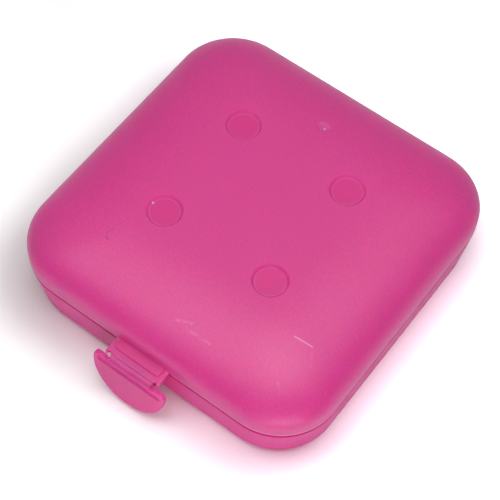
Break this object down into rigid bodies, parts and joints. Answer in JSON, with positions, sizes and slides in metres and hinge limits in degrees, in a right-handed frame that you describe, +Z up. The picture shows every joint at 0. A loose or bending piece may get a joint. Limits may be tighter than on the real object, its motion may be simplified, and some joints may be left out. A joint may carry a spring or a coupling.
{
  "type": "bobbin box",
  "caption": "Frosted pink plastic snap box with a pillow-shaped lid on a living hinge, a half-moon thumb latch at the front, and posts inside that hold sewing machine bobbins.",
  "frame": {"origin": "middle of the flat foot that the box stands on", "axes": "+Z up, -Y to the front where the latch is, +Y to the back hinge, +X to the right seen from the front"},
  "size_m": [0.062, 0.0685, 0.0195],
  "materials": {
    "pink_shell": "frosted translucent polypropylene, satin",
    "pink_film": "the same polypropylene, thin and paler where it bends",
    "clear_bobbin": "clear moulded polystyrene, gloss"
  },
  "bodies": {
    "base": {"base_tray": "pink_shell", "hinge_film_left": "pink_film", "hinge_film_right": "pink_film"},
    "lid": {"lid": "pink_shell", "latch_film": "pink_film"},
    "flap": {"latch_flap": "pink_shell"},
    "bobbin_fl": {"bobbin_front_left": "clear_bobbin"},
    "bobbin_fr": {"bobbin_front_right": "clear_bobbin"},
    "bobbin_bl": {"bobbin_back_left": "clear_bobbin"},
    "bobbin_br": {"bobbin_back_right": "clear_bobbin"}
  },
  "joints": [
    {"name": "lid_hinge", "type": "hinge", "parent": "base", "child": "lid", "pos_m": [0, 0.0319, 0.0098], "axis": [-1, 0, 0], "range_deg": [0, 178], "deforming": ["hinge_film_left", "hinge_film_right"]},
    {"name": "latch_hinge", "type": "hinge", "parent": "lid", "child": "flap", "pos_m": [0, -0.03441, 0.01026], "axis": [-1, 0, 0], "range_deg": [0, 120], "deforming": ["latch_film"]},
    {"name": "bobbin_fl_spin", "type": "hinge", "parent": "base", "child": "bobbin_fl", "pos_m": [-0.011, -0.011, 0.0071], "axis": [0, 0, 1], "continuous": true},
    {"name": "bobbin_fr_spin", "type": "hinge", "parent": "base", "child": "bobbin_fr", "pos_m": [0.011, -0.011, 0.0071], "axis": [0, 0, 1], "continuous": true},
    {"name": "bobbin_bl_spin", "type": "hinge", "parent": "base", "child": "bobbin_bl", "pos_m": [-0.011, 0.011, 0.0071], "axis": [0, 0, 1], "continuous": true},
    {"name": "bobbin_br_spin", "type": "hinge", "parent": "base", "child": "bobbin_br", "pos_m": [0.011, 0.011, 0.0071], "axis": [0, 0, 1], "continuous": true}
  ]
}
